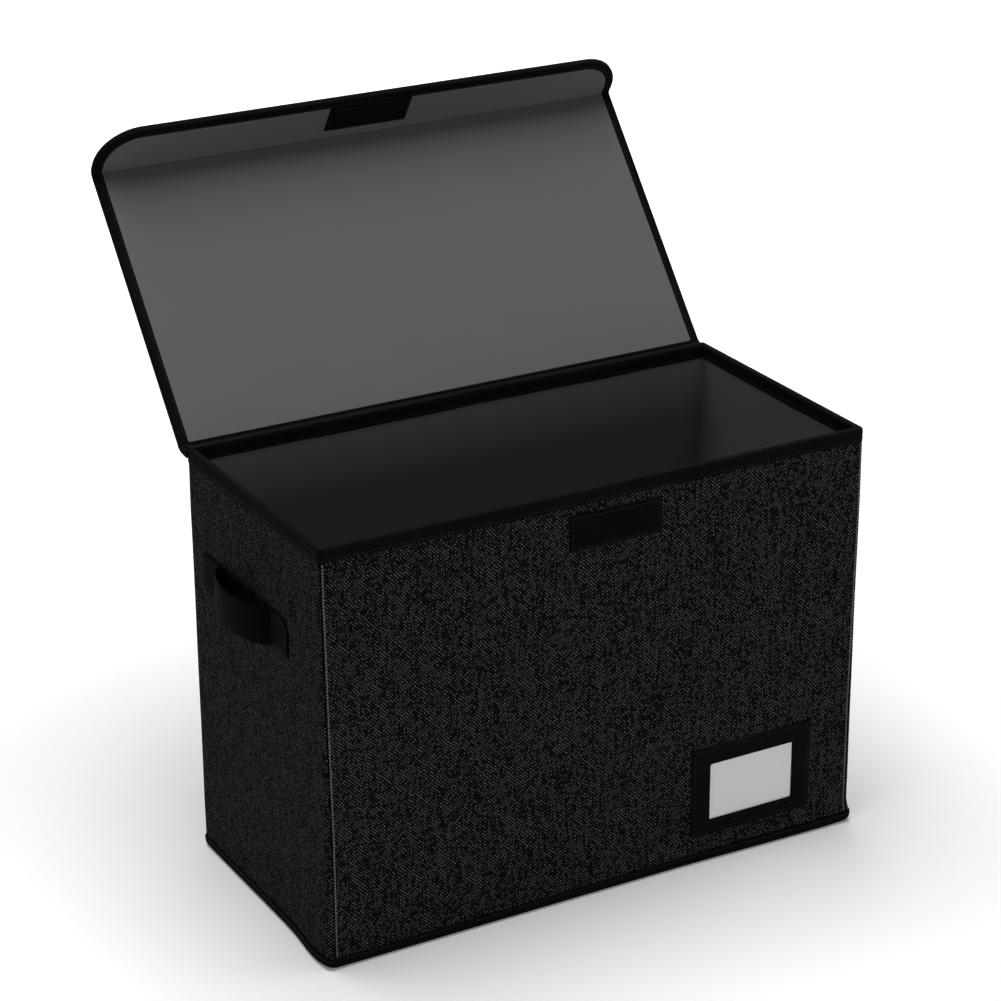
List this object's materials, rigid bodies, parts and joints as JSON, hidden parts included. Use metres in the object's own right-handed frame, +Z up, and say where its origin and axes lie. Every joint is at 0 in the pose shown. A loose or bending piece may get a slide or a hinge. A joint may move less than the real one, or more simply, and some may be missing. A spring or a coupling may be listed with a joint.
{
  "type": "comic book storage box",
  "caption": "Collapsible cloth-covered storage box with a hinged lid, hook-and-loop flap, end straps, loose base board and a label holder.",
  "frame": {"origin": "centre of the footprint, on the surface that the box stands on", "axes": "+Z up, the front with the label holder faces -Y, +X along the length to the right seen from the front"},
  "size_m": [0.4348, 0.3346, 0.4784],
  "materials": {
    "cover_cloth": "dark linen-look weave",
    "lining_cloth": "smooth grey non-woven cloth",
    "binding_tape": "matte black folded tape",
    "wall_board": "raw grey board",
    "hook_and_loop": "matte black pile",
    "strap_web": "black webbing",
    "holder_sheet": "fine-grained black sheet",
    "clear_pane": "clear film",
    "card_paper": "plain light grey card"
  },
  "bodies": {
    "back": {"back_board": "wall_board", "back_cover": "cover_cloth", "back_lining": "lining_cloth", "back_rim_binding": "binding_tape", "foot_binding": "binding_tape", "bottom_cloth": "cover_cloth", "lid_hinge_cloth": "cover_cloth"},
    "front": {"front_board": "wall_board", "front_cover": "cover_cloth", "front_lining": "lining_cloth", "front_rim_binding": "binding_tape", "loop_strip": "hook_and_loop", "label_holder": "holder_sheet", "label_pane": "clear_pane"},
    "left_rear": {"left_rear_board": "wall_board", "left_rear_cover": "cover_cloth", "left_rear_lining": "lining_cloth", "left_rear_rim_binding": "binding_tape", "left_strap": "strap_web", "left_strap_rear_patch": "strap_web"},
    "left_front": {"left_front_board": "wall_board", "left_front_cover": "cover_cloth", "left_front_lining": "lining_cloth", "left_front_rim_binding": "binding_tape", "left_strap_front_patch": "strap_web"},
    "right_rear": {"right_rear_board": "wall_board", "right_rear_cover": "cover_cloth", "right_rear_lining": "lining_cloth", "right_rear_rim_binding": "binding_tape", "right_strap": "strap_web", "right_strap_rear_patch": "strap_web"},
    "right_front": {"right_front_board": "wall_board", "right_front_cover": "cover_cloth", "right_front_lining": "lining_cloth", "right_front_rim_binding": "binding_tape", "right_strap_front_patch": "strap_web"},
    "lid": {"lid_board": "wall_board", "lid_cover": "cover_cloth", "lid_lining": "lining_cloth", "lid_binding": "binding_tape", "flap_hinge_cloth": "cover_cloth"},
    "flap": {"flap_board": "wall_board", "flap_cover": "cover_cloth", "flap_lining": "lining_cloth", "flap_binding": "binding_tape", "hook_strip": "hook_and_loop"},
    "base_board": {"base_board_core": "wall_board", "base_board_sleeve": "lining_cloth"},
    "label_card": {"label_card": "card_paper"}
  },
  "joints": [
    {"name": "left_rear_fold", "type": "hinge", "parent": "back", "child": "left_rear", "pos_m": [-0.1969, 0.0919, 0], "axis": [0, 0, 1], "range_deg": [0, 85], "deforming": ["left_strap", "right_strap"]},
    {"name": "left_middle_fold", "type": "hinge", "parent": "left_rear", "child": "left_front", "pos_m": [-0.2021, 0, 0], "axis": [0, 0, 1], "range_deg": [-170, 0]},
    {"name": "left_corner_fold", "type": "hinge", "parent": "left_front", "child": "front", "pos_m": [-0.1969, -0.0919, 0], "axis": [0, 0, 1], "range_deg": [0, 85]},
    {"name": "right_rear_fold", "type": "hinge", "parent": "back", "child": "right_rear", "pos_m": [0.1969, 0.0919, 0], "axis": [0, 0, 1], "range_deg": [-85, 0]},
    {"name": "right_middle_fold", "type": "hinge", "parent": "right_rear", "child": "right_front", "pos_m": [0.2021, 0, 0], "axis": [0, 0, 1], "range_deg": [0, 170]},
    {"name": "lid_hinge", "type": "hinge", "parent": "back", "child": "lid", "pos_m": [0, 0.1015, 0.292], "axis": [1, 0, 0], "range_deg": [-98, 129.5], "deforming": ["lid_hinge_cloth"]},
    {"name": "flap_hinge", "type": "hinge", "parent": "lid", "child": "flap", "pos_m": [0, 0.23094, 0.4454], "axis": [1, 0, 0], "range_deg": [-73, 17], "deforming": ["flap_hinge_cloth"]},
    {"name": "base_board_lift", "type": "slide", "parent": "back", "child": "base_board", "axis": [0, 0, 1], "range_m": [0, 0.32]},
    {"name": "label_card_slide", "type": "slide", "parent": "front", "child": "label_card", "axis": [0, 0, 1], "range_m": [0, 0.064]}
  ],
  "couplings": [
    {"joint": "left_middle_fold", "follows": "left_rear_fold", "ratio": -2},
    {"joint": "left_corner_fold", "follows": "left_rear_fold", "ratio": 1},
    {"joint": "right_rear_fold", "follows": "left_rear_fold", "ratio": -1},
    {"joint": "right_middle_fold", "follows": "left_rear_fold", "ratio": 2}
  ]
}
